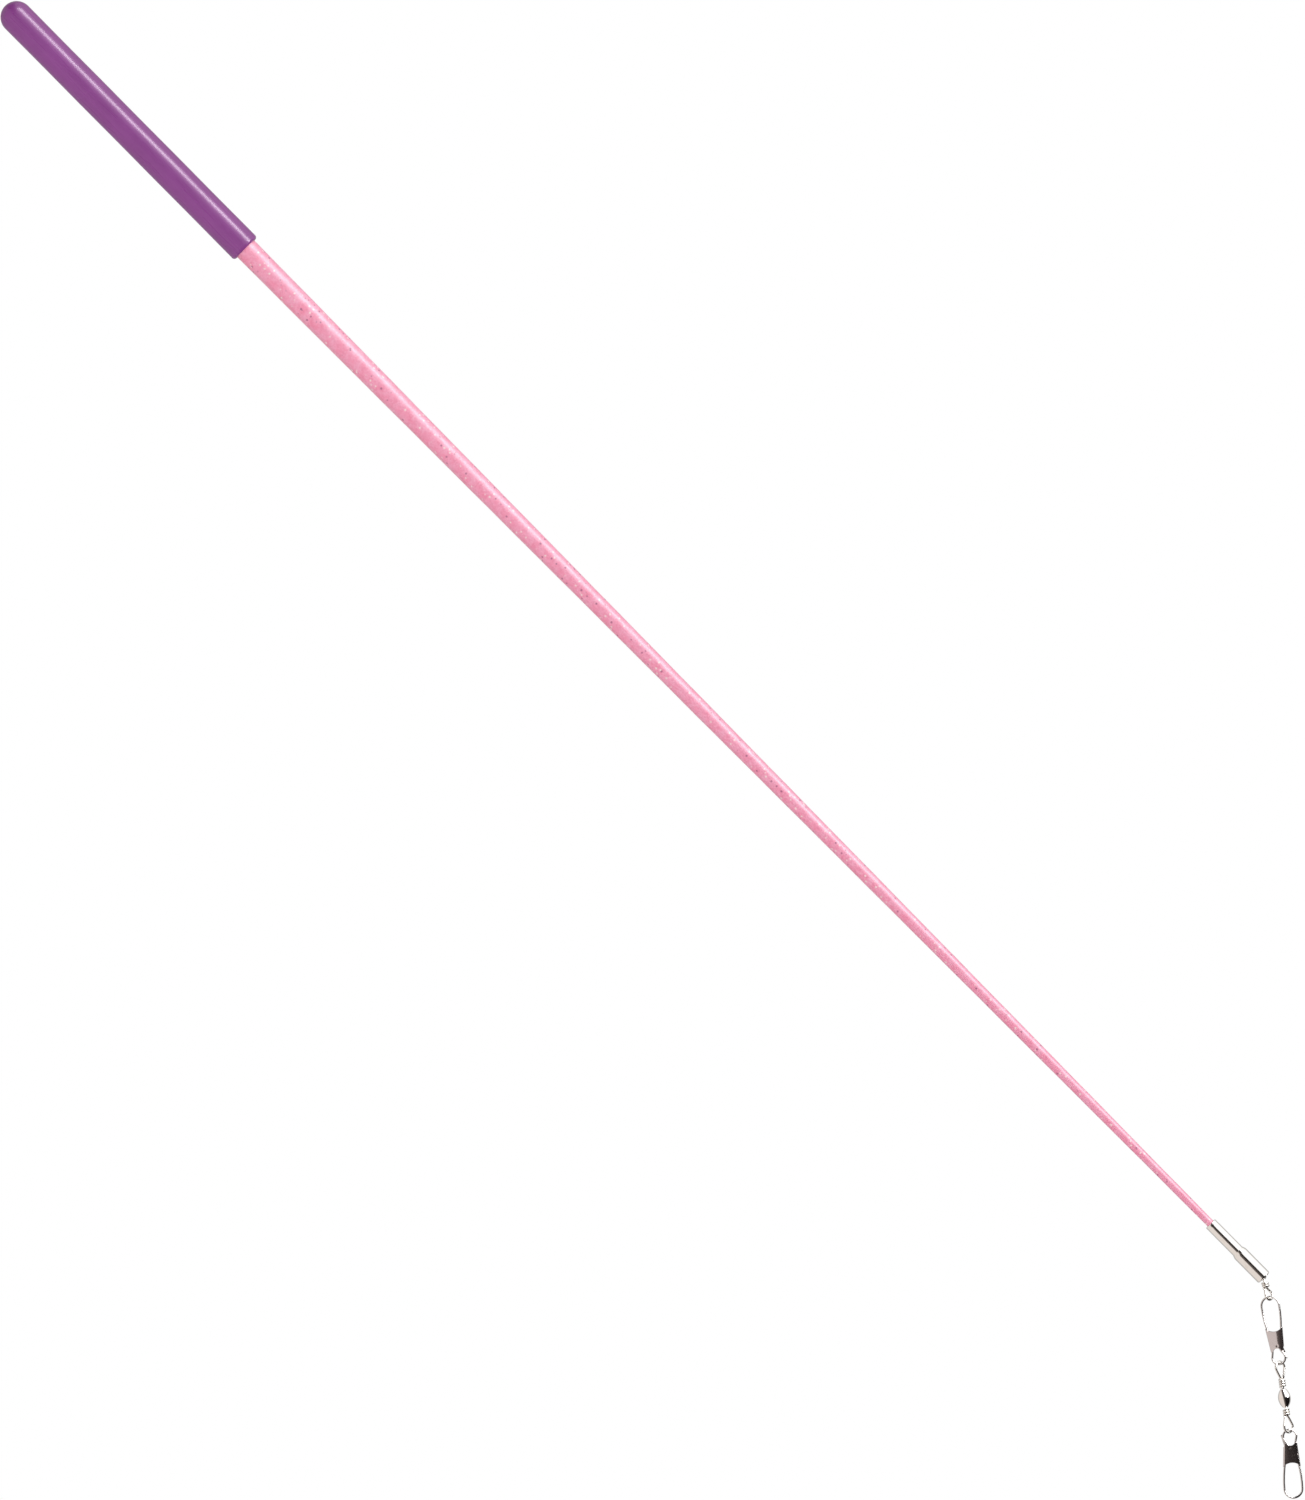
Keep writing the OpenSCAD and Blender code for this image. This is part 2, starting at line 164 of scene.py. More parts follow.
def lathe(outline, sides=96, closed=True):
    """A turned solid from (radius, z) points in order. A closed outline runs back to its first point."""
    verts, rows = [], []
    turn = 2 * math.pi / sides
    for r, z in outline:
        if r < 1e-6:
            rows.append([len(verts)])
            verts.append((0.0, 0.0, z))
            continue
        rows.append(list(range(len(verts), len(verts) + sides)))
        verts.extend([(r * math.cos(k * turn), r * math.sin(k * turn), z) for k in range(sides)])
    faces = []
    pairs = list(zip(rows, rows[1:] + rows[:1])) if closed else list(zip(rows, rows[1:]))
    for low, high in pairs:
        for k in range(sides):
            n = (k + 1) % sides
            if len(low) == 1 and len(high) == 1:
                break
            if len(low) == 1:
                faces.append((low[0], high[n], high[k]))
            elif len(high) == 1:
                faces.append((low[k], low[n], high[0]))
            else:
                faces.append((low[k], low[n], high[n], high[k]))
    return verts, faces


def arc_points(centre, radius, start, end, steps):
    """(radius, z) points of an arc in a lathe's outline, angles in degrees from +radius towards +z."""
    return [(centre[0] + radius * math.cos(math.radians(start + (end - start) * k / steps)),
             centre[1] + radius * math.sin(math.radians(start + (end - start) * k / steps)))
            for k in range(steps + 1)]


def arc_xz(centre, radius, start, end, steps):
    """Points of an arc in the XZ plane, angles in degrees from +X towards +Z."""
    turns = np.radians(np.linspace(start, end, steps + 1))
    return np.array([centre + radius * np.array([math.cos(a), 0, math.sin(a)]) for a in turns])


def spline(points, step):
    """A smooth line through points, with a point about every step."""
    p = np.asarray(points, float)
    out = []
    for i in range(len(p) - 1):
        a, b, c, d = p[max(i - 1, 0)], p[i], p[i + 1], p[min(i + 2, len(p) - 1)]
        count = max(2, int(np.linalg.norm(c - b) / step))
        for s in range(count):
            t = s / count
            out.append(0.5 * (2 * b + (c - a) * t + (2 * a - 5 * b + 4 * c - d) * t**2
                              + (3 * b - a - 3 * c + d) * t**3))
    return np.array(out + [p[-1]])


def even(points, step):
    """The same line with its points the same distance apart."""
    p = np.asarray(points, float)
    along = np.concatenate([[0], np.cumsum(np.linalg.norm(np.diff(p, axis=0), axis=1))])
    places = np.linspace(0, along[-1], max(2, round(along[-1] / step)) + 1)
    return np.stack([np.interp(places, along, p[:, k]) for k in range(3)], axis=1)


def eased(points, passes):
    """The same line with its corners eased."""
    p = np.array(points, float)
    for _ in range(passes):
        p[1:-1] = (p[:-2] + 2 * p[1:-1] + p[2:]) / 4
    return p


def carried_frames(line):
    """(tangents, sides) along a line, each side carried along from the one before without twisting."""
    tangents = np.gradient(line, axis=0)
    tangents /= np.linalg.norm(tangents, axis=1)[:, None]
    sides = []
    side = np.array([0.0, 1.0, 0.01])
    for tangent in tangents:
        side = side - (side @ tangent) * tangent
        side /= np.linalg.norm(side)
        sides.append(side)
    return tangents, np.array(sides)


def tube(line, tangents, sides, radius, edges=(True, True), edge=0.05, round_sides=20):
    """A closed round wire along a line. Its first and last edges are eased where edges says so."""
    rings = [(p, t, n, radius) for p, t, n in zip(line, tangents, sides)]
    if edges[0]:
        p, t, n, r = rings[0]
        rings.insert(0, (p - t * edge, t, n, r - edge))
    if edges[1]:
        p, t, n, r = rings[-1]
        rings.append((p + t * edge, t, n, r - edge))
    turns = np.linspace(0, 2 * math.pi, round_sides, endpoint=False)
    verts = [tuple(p + r * (math.cos(a) * n + math.sin(a) * np.cross(t, n)))
             for p, t, n, r in rings for a in turns]
    faces = [(i * round_sides + k, i * round_sides + (k + 1) % round_sides,
              (i + 1) * round_sides + (k + 1) % round_sides, (i + 1) * round_sides + k)
             for i in range(len(rings) - 1) for k in range(round_sides)]
    faces.append(tuple(reversed(range(round_sides))))
    faces.append(tuple(range((len(rings) - 1) * round_sides, len(rings) * round_sides)))
    return verts, faces


# ---- Materials ----------------------------------------------------------------------------------


class Nodes:
    """Short calls for building a node tree."""

    def __init__(self, tree):
        self.tree = tree

    def put(self, socket, value):
        """Links a socket to another, or sets it."""
        if isinstance(value, bpy.types.NodeSocket):
            self.tree.links.new(value, socket)
        else:
            socket.default_value = value

    def add(self, kind, **inputs):
        node = self.tree.nodes.new(kind)
        for name, value in inputs.items():
            self.put(node.inputs[name], value)
        return node

    def coordinates(self, kind):
        return self.add("ShaderNodeTexCoord").outputs[kind]

    def math(self, operation, a, b=0.0):
        node = self.add("ShaderNodeMath")
        node.operation = operation
        self.put(node.inputs[0], a)
        self.put(node.inputs[1], b)
        return node.outputs[0]

    def mix(self, share, a, b):
        node = self.add("ShaderNodeMix")
        node.data_type = "RGBA"
        for socket, value in zip((node.inputs[0], node.inputs[6], node.inputs[7]), (share, a, b)):
            self.put(socket, value)
        return node.outputs[2]

    def ramp(self, value, *stops):
        """A colour ramp. Each stop is (place, colour or grey)."""
        node = self.add("ShaderNodeValToRGB", Fac=value)
        elements = node.color_ramp.elements
        while len(elements) < len(stops):
            elements.new(1.0)
        for element, (place, colour) in zip(elements, stops):
            element.position = place
            element.color = colour if isinstance(colour, tuple) else (colour, colour, colour, 1)
        return node.outputs["Color"]

    def lengthwise(self, along, stretch):
        """Object coordinates turned so that Z runs along a direction, and pressed together along it."""
        node = self.add("ShaderNodeMapping", Vector=self.coordinates("Object"))
        node.vector_type = "TEXTURE"
        node.inputs["Rotation"].default_value = along.to_track_quat("Z", "Y").to_euler()
        node.inputs["Scale"].default_value = (1, 1, stretch)
        return node.outputs["Vector"]

    def noise(self, size, detail, rough=0.5, place=None):
        """Noise with features of about size millimetres."""
        where = place or self.coordinates("Object")
        return self.add("ShaderNodeTexNoise", Vector=where, Scale=1 / (size * MM), Detail=detail,
                        Roughness=rough).outputs["Fac"]

    def cells(self, size):
        """(distance from a cell's middle, random colour of the cell) for cells of about size millimetres."""
        node = self.add("ShaderNodeTexVoronoi", Vector=self.coordinates("Object"), Scale=1 / (size * MM))
        return node.outputs["Distance"], node.outputs["Color"]

    def bump(self, height, distance, under=None):
        """A bump of distance millimetres, on top of the bump under it."""
        node = self.add("ShaderNodeBump", Height=height, Distance=distance * MM, Strength=1.0)
        if under is not None:
            self.put(node.inputs["Normal"], under)
        return node.outputs["Normal"]


def new_material(name):
    """A material, its nodes and its shader."""
    material = bpy.data.materials.new(name)
    material.use_nodes = True
    return material, Nodes(material.node_tree), material.node_tree.nodes["Principled BSDF"]


def vinyl_material():
    """Violet vinyl sleeve: satin, faintly mottled, with a soft sag in its surface and fine handling marks."""
    material, n, shader = new_material("violet_vinyl")
    violet = n.ramp(n.noise(9.0, 3.0), (0.3, (0.235, 0.043, 0.238, 1)), (0.7, (0.264, 0.051, 0.268, 1)))
    n.put(shader.inputs["Base Color"], violet)
    marks = n.noise(0.7, 2.0, 0.5, n.lengthwise(STICK_AXIS, 20))
    n.put(shader.inputs["Roughness"], n.ramp(marks, (0.35, 0.27), (0.75, 0.33)))
    sag = n.bump(n.noise(9.0, 0.0, 0.5, n.lengthwise(STICK_AXIS, 4)), 0.20)
    n.put(shader.inputs["Normal"], n.bump(marks, 0.0008, sag))
    return material


def glitter_material():
    """Pink rod under a wavy clear coat, with fine glitter and a few larger pale and dark flecks."""
    pale_fleck, dark_fleck = (0.97, 0.66, 0.68, 1), (0.46, 0.10, 0.22, 1)
    material, n, shader = new_material("pink_glitter")
    pink = n.ramp(n.noise(2.6, 2.0), (0.32, (0.96, 0.23, 0.39, 1)), (0.68, (0.97, 0.36, 0.53, 1)))
    tone = n.cells(0.45)[1]
    shade = n.ramp(tone, (0.2, (0.76, 0.21, 0.34, 1)), (0.5, (0.88, 0.31, 0.46, 1)),
                   (0.85, (0.93, 0.48, 0.62, 1)))
    base = n.mix(0.35, pink, shade)
    distance, pick = n.cells(1.3)
    chosen = n.add("ShaderNodeSeparateColor", Color=pick).outputs["Red"]
    disc = n.ramp(distance, (0.16, 1.0), (0.34, 0.0))
    pale = n.math("MULTIPLY", disc, n.math("GREATER_THAN", chosen, 0.74))
    dark = n.math("MULTIPLY", disc, n.math("LESS_THAN", chosen, 0.20))
    n.put(shader.inputs["Base Color"], n.mix(dark, n.mix(pale, base, pale_fleck), dark_fleck))
    n.put(shader.inputs["Roughness"], 0.5)
    n.put(shader.inputs["Normal"], n.bump(tone, 0.008))
    n.put(shader.inputs["Coat Weight"], 0.75)
    n.put(shader.inputs["Coat Roughness"], 0.50)
    n.put(shader.inputs["Coat IOR"], 1.7)
    n.put(shader.inputs["Coat Normal"], n.bump(n.noise(4.0, 1.0, 0.4, n.lengthwise(STICK_AXIS, 2)), 0.16))
    return material


def plated_material(name, tint, low, high, along, wear=0.35, dents=0.012):
    """Nickel plate with a roughness from low to high: polishing lines along the piece, faint dents in
    millimetres, and a few dull, yellowish worn spots."""
    material, n, shader = new_material(name)
    lines = n.noise(0.10, 3.0, 0.6, n.lengthwise(along, 25))
    spots = n.ramp(n.noise(1.3, 4.0, 0.6), (0.56, 0.0), (0.72, wear))
    yellowing = (0.80, 0.74, 0.64)
    dull = tuple(c * k for c, k in zip(tint, yellowing)) + (1,)
    n.put(shader.inputs["Base Color"], n.mix(spots, tint + (1,), dull))
    n.put(shader.inputs["Metallic"], 1.0)
    polish = n.math("ADD", low, n.math("MULTIPLY", lines, high - low))
    n.put(shader.inputs["Roughness"], n.math("ADD", polish, n.math("MULTIPLY", spots, 0.2)))
    n.put(shader.inputs["Normal"], n.bump(lines, 0.0006, n.bump(n.noise(1.6, 2.0), dents)))
    return material


VINYL = vinyl_material()
GLITTER = glitter_material()
FERRULE = plated_material("ferrule_nickel", (0.86, 0.84, 0.81), 0.05, 0.13, STICK_AXIS)
WIRE = plated_material("wire_nickel", (0.80, 0.78, 0.75), 0.08, 0.20, CHAIN_DOWN, 0.5)
SNAP_WIRE = plated_material("snap_wire_nickel", (0.66, 0.64, 0.63), 0.10, 0.22, CHAIN_DOWN, 0.5)
PLATE = plated_material("plate_nickel", (0.64, 0.59, 0.59), 0.08, 0.18, CHAIN_DOWN, 0.6, 0.02)
BARREL = plated_material("barrel_nickel", (0.88, 0.85, 0.82), 0.05, 0.12, CHAIN_DOWN)


def paint(piece, material):
    piece.data.materials.clear()
    piece.data.materials.append(material)
    return piece


# ---- Stick --------------------------------------------------------------------------------------


def make_grip():
    """Sleeve with a domed end, a rolled lip at its mouth, and a bore that the rod fills."""
    r, bore, inner_lip = GRIP_D / 2, ROD_D / 2, 0.22
    dome_z, floor_z = -GRIP_L / 2 + r, -GRIP_L / 2 + GRIP_END_WALL
    sag, sag_length = 0.03, 31
    neck_z, mouth_dip = GRIP_MOUTH - 3.2, 0.02
    outline = arc_points((0, dome_z), r, -90, 0, 28)
    for z in np.linspace(dome_z, neck_z, 60)[1:]:
        outline.append((r - sag * (0.5 - 0.5 * math.cos(2 * math.pi * (z - dome_z) / sag_length)), z))
    outline += [(r - mouth_dip, GRIP_MOUTH - 2.2), (r, GRIP_MOUTH - 1.5)]
    outline += arc_points((r - GRIP_LIP, GRIP_MOUTH - GRIP_LIP), GRIP_LIP, 0, 90, 10)
    outline += arc_points((bore + inner_lip, GRIP_MOUTH - inner_lip), inner_lip, 90, 180, 5)
    outline += [(bore, floor_z), (0, floor_z)]
    verts, faces = lathe(outline, 128)
    return paint(add_piece("grip_sleeve", verts, faces, STICK, "stick", ["grip"]), VINYL)


def make_rod():
    """Tapered rod, a little uneven under its dipped coat."""
    butt, chamfer, wave = -GRIP_L / 2 + GRIP_END_WALL, 0.5, 0.012
    outline = [(0, butt), (ROD_D / 2 - chamfer, butt), (ROD_D / 2, butt + chamfer)]
    for z in np.linspace(GRIP_MOUTH - 2, SLEEVE_START, 260):
        share = max(0.0, (z - GRIP_MOUTH) / ROD_L)
        r = ROD_D / 2 + (ROD_TIP_D - ROD_D) / 2 * share
        uneven = wave * (math.sin(z / 5.3) + 0.7 * math.sin(z / 2.9 + 1.3) + 0.5 * math.sin(z / 11.7))
        outline.append((r + uneven * (share > 0) * (share < 1), z))
    tip_z = SLEEVE_START + ROD_IN_SLEEVE
    outline += [(ROD_TIP_D / 2, tip_z), (0, tip_z)]
    verts, faces = lathe(outline, 96)
    return paint(add_piece("rod_shaft", verts, faces, STICK, "stick", ["rod"]), GLITTER)


def make_ferrule_sleeve():
    """Narrow tube with a rolled lip where the rod goes in, and a shallow groove behind the lip."""
    r, bore = SLEEVE_D / 2, ROD_TIP_D / 2
    z0, z1 = SLEEVE_START, CAP_START + SLEEVE_IN_CAP
    lip, inner_lip, groove = 0.22, 0.25, 0.03
    outline = [(bore, z0 + ROD_IN_SLEEVE), (bore, z0 + 0.3)]
    outline += arc_points((bore + inner_lip, z0 + inner_lip), inner_lip, 180, 270, 5)
    outline += arc_points((r - lip, z0 + lip), lip, -90, 0, 8)
    outline += [(r, z0 + 0.7), (r - groove, z0 + 0.95), (r - groove, z0 + 1.15), (r, z0 + 1.4)]
    outline += [(r, z) for z in np.linspace(z0 + 2.2, z1, 10)]
    outline += [(0, z1), (0, z0 + ROD_IN_SLEEVE)]
    verts, faces = lathe(outline, 96)
    piece = add_piece("ferrule_tube", verts, faces, STICK, "stick", ["ferrule_sleeve"])
    return paint(piece, FERRULE)


def make_ferrule_cap():
    """Wide cap: a cone at its back, a straight wall, an end rolled in round the ball's hole, and room inside
    for the eye's head to tilt."""
    r, bore, socket = CAP_D / 2, SLEEVE_D / 2, BALL_D / 2 + BALL_GAP
    z0, cone_z, room_z = CAP_START, CAP_START + CAP_CONE_L, TIP_END - CAP_END_WALL
    back_edge, end_edge, hole_edge = 0.05, 0.45, 0.12
    hole = math.sqrt(socket**2 - BALL_DEPTH**2)
    mouth_angle = math.degrees(math.asin((BALL_DEPTH - 0.2) / socket))
    room_angle = math.degrees(math.asin((room_z - BALL_S) / socket))
    outline = [(bore, z0 + 0.4), (bore, z0)]
    outline += arc_points((bore + 0.04, z0 + back_edge), back_edge, 200, 330, 4)
    outline += [(bore + 0.16, z0 + 0.22), (r - 0.10, cone_z - 0.22), (r - 0.02, cone_z)]
    outline += [(r, z) for z in np.linspace(cone_z + 0.25, TIP_END - end_edge - 0.02, 14)]
    outline += arc_points((r - end_edge, TIP_END - end_edge), end_edge, 0, 90, 10)
    outline += arc_points((hole + hole_edge, TIP_END - hole_edge), hole_edge, 90, 170, 5)
    outline += arc_points((0, BALL_S), socket, mouth_angle, room_angle, 10)
    outline += [(bore, room_z)]
    verts, faces = lathe(outline, 96)
    piece = add_piece("ferrule_end_cap", verts, faces, STICK, "stick", ["ferrule_cap"])
    return paint(piece, FERRULE)


# ---- Tip ball and eyes --------------------------------------------------------------------------


def make_ball():
    """Ball with the hole that the tip eye's shank goes through, its edges eased."""
    r, bore, ease = BALL_D / 2, TIP_WIRE_D / 2 + SHANK_EXTRA + SHANK_GAP, 0.05
    edge = math.degrees(math.acos((bore + ease) / r))
    top = math.sqrt(r * r - (bore + ease) ** 2)
    outline = [(bore, -top + ease)] + arc_points((0, 0), r, -edge, edge, 36) + [(bore, top - ease)]
    verts, faces = lathe(outline, 64)
    return paint(add_piece("tip_ball", verts, faces, TIP, "ball", ["ball"]), WIRE)


def wire_eye(wire_r, loop_w, head_z, head_r, head_h, wrap_z, turns, top_z, turned):
    """A headed shank on +Z, its loop, and the wire's end wrapped round the shank."""
    wrap_r, loop_r = 2 * wire_r + WRAP_GAP, loop_w / 2
    loop_z = top_z - loop_r
    first_turn, turn_steps, step, head_edge = 40, 36, 0.12, 0.1
    neck = [[0, 0, wrap_z - 0.6], [0, 0, wrap_z - 0.1], [-0.3 * loop_r, 0, wrap_z + 0.5]]
    loop = arc_xz(np.array([0, 0, loop_z]), loop_r, 195, -15, 28)
    back = [[wrap_r + 0.05, 0.08, wrap_z + 0.42]]
    wrap = []
    for k in range(int(turns * turn_steps) + 1):
        angle = first_turn + k / turn_steps * 360
        fall = (2 * wire_r + TURN_GAP) * (angle - first_turn) / 360
        a = math.radians(angle)
        wrap.append([wrap_r * math.cos(a), wrap_r * math.sin(a), wrap_z - fall])
    line = np.concatenate([spline(np.concatenate([neck, loop, back, wrap[:1]]), step), np.array(wrap[1:])])
    line = eased(even(line, step), 2)
    shank = np.array([[0, 0, z] for z in np.linspace(head_z + 0.1, line[0][2], 20)])
    whole = eased(even(np.concatenate([shank[:-1], line]), step), 2)
    head_top = head_z + head_h
    head = lathe([(0, head_z)] + arc_points((head_r - head_edge, head_z + head_edge), head_edge, -90, 0, 4)
                 + arc_points((head_r - head_edge, head_top - head_edge), head_edge, 0, 90, 4)
                 + [(wire_r * 0.8, head_top), (0, head_top)], 32)
    verts, faces = join_parts([tube(whole, *carried_frames(whole), wire_r), head])
    turn = math.radians(turned)
    spin = np.array([[math.cos(turn), -math.sin(turn), 0], [math.sin(turn), math.cos(turn), 0], [0, 0, 1]])
    return np.asarray(verts) @ spin.T, faces


def make_tip_eye():
    wire_r, head_r, head_h = TIP_WIRE_D / 2, 0.65, 0.4
    head_z = -BALL_D / 2 - 0.05 - head_h
    wrap_z = 1.75 + wire_r + TIP_TURNS * (TIP_WIRE_D + TURN_GAP)
    verts, faces = wire_eye(wire_r, TIP_EYE_W, head_z, head_r, head_h,
                            wrap_z, TIP_TURNS, TIP_L, TIP_EYE_TURNED)
    return paint(add_piece("tip_wire_eye", verts, faces, TIP, "tip_eye", ["tip_eye"]), WIRE)


def make_swivel_eye(name, matrix, body, node, reach, turns, turned):
    wire_r, head_z, head_r, head_h = EYE_WIRE_D / 2, 0.4, 0.8, 0.5
    top_z = reach - (SMALL_R - wire_r - SNAP_WIRE_D / 2 - LINK_GAP)
    wrap_z = BARREL_L / 2 + 0.15 + wire_r + turns * (EYE_WIRE_D + TURN_GAP)
    verts, faces = wire_eye(wire_r, EYE_W, head_z, head_r, head_h, wrap_z, turns, top_z, turned)
    return paint(add_piece(name, verts, faces, matrix, body, [node]), WIRE)


def make_barrel():
    """Barrel turned from an arc, with a rolled lip at each end, hollow round the eyes' heads."""
    half, rise, wall, lip, hole_edge = BARREL_L / 2, (BARREL_D - BARREL_END_D) / 2, 0.4, 0.1, 0.06
    arc_r = (half**2 + rise**2) / (2 * rise)
    centre = BARREL_D / 2 - arc_r
    reach = math.degrees(math.asin((half - lip) / arc_r))
    bore = EYE_WIRE_D / 2 + SHANK_EXTRA + SHANK_GAP
    end_r = centre + arc_r * math.cos(math.radians(reach))
    room = half - 1.1
    inner = math.degrees(math.asin(room / (arc_r - wall)))
    outline = [(bore, -half + hole_edge), (bore + hole_edge, -half), (end_r - 0.08, -half)]
    outline += arc_points((centre, 0), arc_r, -reach, reach, 48)
    outline += [(end_r - 0.08, half), (bore + hole_edge, half), (bore, half - hole_edge), (bore, room)]
    outline += arc_points((centre, 0), arc_r - wall, inner, -inner, 24) + [(bore, -room)]
    verts, faces = lathe(outline, 96)
    piece = add_piece("swivel_shell", verts, faces, SWIVEL_LOWER, "barrel",
                      ["swivel_barrel"])
    return paint(piece, BARREL)


# ---- Snaps --------------------------------------------------------------------------------------

SNAP_R = SNAP_WIRE_D / 2
PLATE_TOP, PLATE_BOTTOM = -6.65, -13.35
WIRES_TOP, WIRES_BOTTOM = 2.06, 1.5
EDGE_R = SNAP_R + 0.04


def wires_at(z):
    """Half the distance between the wires at a height in the plate."""
    return WIRES_TOP + (WIRES_BOTTOM - WIRES_TOP) * (z - PLATE_TOP) / (PLATE_BOTTOM - PLATE_TOP)


SHOULDER = [[2.6, 0, -2.2], [2.45, 0, -4.2], [2.2, 0, -6.1]]
IN_PLATE = [[wires_at(z), 0, z] for z in (-7.4, -9.8, -12.2)]
# Where on the bend the springy leg's wire starts. TURN_ANGLE and TURN_END_Z, where it would begin to turn
# with the gate and the height from which it would turn with it fully, are not used.
SPLIT_ANGLE, TURN_ANGLE, TURN_END_Z = 78, 62, -1.6


def mirrored(points):
    return [[-x, y, z] for x, y, z in reversed(points)]


def snap_line():
    """Centre line of the snap's wire: from its tail in the plate, round the small loop, up one leg, over the
    bend and down the springy leg to its hook."""
    small, step = np.array([0, 0, -SNAP_L]), 0.12
    tail = [[0.35, 0, -9.6], [0.42, 0, -11], [0.66, 0, -12.3], [1.08, 0, -13.45]]
    hook_y = 0.7
    hook = [[1.66, 0.2, -13.05], [1.85, 0.52, -13.9], [2.04, hook_y - 0.02, -14.7], [2.16, hook_y, -15.3],
            [2.27, hook_y, -15.6], [2.43, hook_y, -15.76]]
    parts = [tail, arc_xz(small, SMALL_R, 32, -182, 60), [[-WIRES_BOTTOM, 0, PLATE_BOTTOM]],
             mirrored(SHOULDER + IN_PLATE), arc_xz(np.zeros(3), BEND_R, 180, 0, 50), [[BEND_R, 0, -1.1]],
             SHOULDER, IN_PLATE, hook]
    return eased(even(spline(np.concatenate(parts), step), step), 3)


def make_snap_wires(side, matrix):
    """The fixed wire, on the snap's body, and the springy leg, which starts on the bend and is attached to no
    body.
    """
    line = snap_line()
    on_bend = np.flatnonzero(line[:, 2] > 0)
    angles = np.degrees(np.arctan2(line[on_bend, 2], line[on_bend, 0]))
    split = on_bend[np.argmin(abs(angles - SPLIT_ANGLE))]
    frames = carried_frames(line)
    fixed = [part[:split + 1] for part in (line, *frames)]
    gate = [part[split:] for part in (line, *frames)]
    for name, body, node, part, edges in ((f"{side}_snap_loop", f"{side}_snap", "wire", fixed, (True, False)),
                                          (f"{side}_snap_spring_leg", None, "gate", gate, (False, True))):
        verts, faces = tube(*part, SNAP_R, edges)
        piece = add_piece(name, verts, faces, matrix, body, [f"{side}_snap_{node}"])
        paint(piece, SNAP_WIRE)
    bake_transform(piece)


def front_rise(place):
    """How far the plate's front stands out across it, from 0 at the fixed wire, -1, to 1 at its ridge, and
    down to 0 at the gate, 1."""
    ridge = 0.25
    fall = (ridge - place) / (1 + ridge) if place < ridge else (place - ridge) / (1 - ridge)
    return 1 - fall**2


def plate_section(z, crown, columns):
    """Middle line of the folded sheet at height z: flap, fixed wire's fold, front, and lip round the gate."""
    w = wires_at(z)
    mid_r = EDGE_R + SHEET_T / 2
    share = (z - PLATE_BOTTOM) / (PLATE_TOP - PLATE_BOTTOM)
    flap_edge, lip_angle = 0.5 + 0.35 * share, 43
    line = [np.array([x, mid_r]) for x in np.linspace(flap_edge, -w, 14)[:-1]]
    line += [np.array([-w + mid_r * math.cos(a), mid_r * math.sin(a)])
             for a in np.radians(np.linspace(90, 270, 16))]
    for x in np.linspace(-w, w, columns)[1:-1]:
        line.append(np.array([x, -mid_r - crown * front_rise(x / w)]))
    line += [np.array([w + mid_r * math.cos(a), mid_r * math.sin(a)])
             for a in np.radians(np.linspace(-90, lip_angle, 14))]
    return line


def make_snap_plate(side, matrix, crown):
    """Sheet folded round both wires, with hollowed ends, a rolled lip over the gate and a pressed dimple."""
    columns, rows, lip_columns = 34, 40, 11
    top_r, top_z = 2.8, -7.65 + 2.8
    bottom_r, bottom_z = 2.0, -12.6 - 2.0
    highest, lowest, lip_lowest = PLATE_TOP + 0.2, PLATE_BOTTOM - 0.2, PLATE_BOTTOM + 1.0
    dimple_x, dimple_z, dimple_r, dimple_depth, front_w = 0.25, -11.9, 0.32, 0.08, 1.9
    middle = plate_section((PLATE_TOP + PLATE_BOTTOM) / 2, crown, columns)
    grid = []
    for k in range(len(middle)):
        x = middle[k][0]
        high = min(highest, top_z - math.sqrt(top_r**2 - x * x)) if abs(x) < top_r else highest
        low = max(lowest, bottom_z + math.sqrt(bottom_r**2 - x * x)) if abs(x) < bottom_r else lowest
        if k >= len(middle) - lip_columns:
            low = max(low, lip_lowest)
        column = []
        for z in np.linspace(low, high, rows):
            x, y = plate_section(z, crown, columns)[k]
            if y < 0 and abs(x) < front_w:
                away = math.hypot(x - dimple_x, z - dimple_z)
                y += dimple_depth * math.exp(-((away / dimple_r) ** 2))
            column.append((x, y, z))
        grid.append(column)
    verts = [p for column in grid for p in column]
    faces = [(k * rows + i, (k + 1) * rows + i, (k + 1) * rows + i + 1, k * rows + i + 1)
             for k in range(len(grid) - 1) for i in range(rows - 1)]
    piece = add_piece(f"{side}_snap_folded_plate", verts, faces, matrix, f"{side}_snap",
                      [f"{side}_snap_plate"], 60)
    solid = piece.modifiers.new("sheet", "SOLIDIFY")
    solid.thickness, solid.offset = (SHEET_T - 0.02) * MM, 0
    ease = piece.modifiers.new("edge", "BEVEL")
    ease.width, ease.segments, ease.limit_method = 0.05 * MM, 2, "ANGLE"
    return paint(piece, PLATE)


make_grip()
make_rod()
make_ferrule_sleeve()
make_ferrule_cap()
make_ball()
make_tip_eye()
for snap_side, snap_matrix, plate_crown in (("upper", UPPER_SNAP, 0.20), ("lower", LOWER_SNAP, 0.05)):
    make_snap_wires(snap_side, snap_matrix)
    make_snap_plate(snap_side, snap_matrix, plate_crown)
make_swivel_eye("swivel_top_eye", SWIVEL_UPPER, "upper_eye", "swivel_upper_eye",
                SWIVEL_UP, UPPER_TURNS, UPPER_EYE_TURNED)
make_swivel_eye("swivel_bottom_eye", SWIVEL_LOWER, "lower_eye", "swivel_lower_eye",
                SWIVEL_DOWN, LOWER_TURNS, LOWER_EYE_TURNED)
make_barrel()

# ---- Camera -------------------------------------------------------------------------------------

# A point of the frame, in metres, and the distance from it
LOOK_AT = Vector((0.1342, 0, -0.1972))
CAMERA_DISTANCE = 3.655
ROLL = -6.0
LENS, SENSOR = 300.0, 36.0


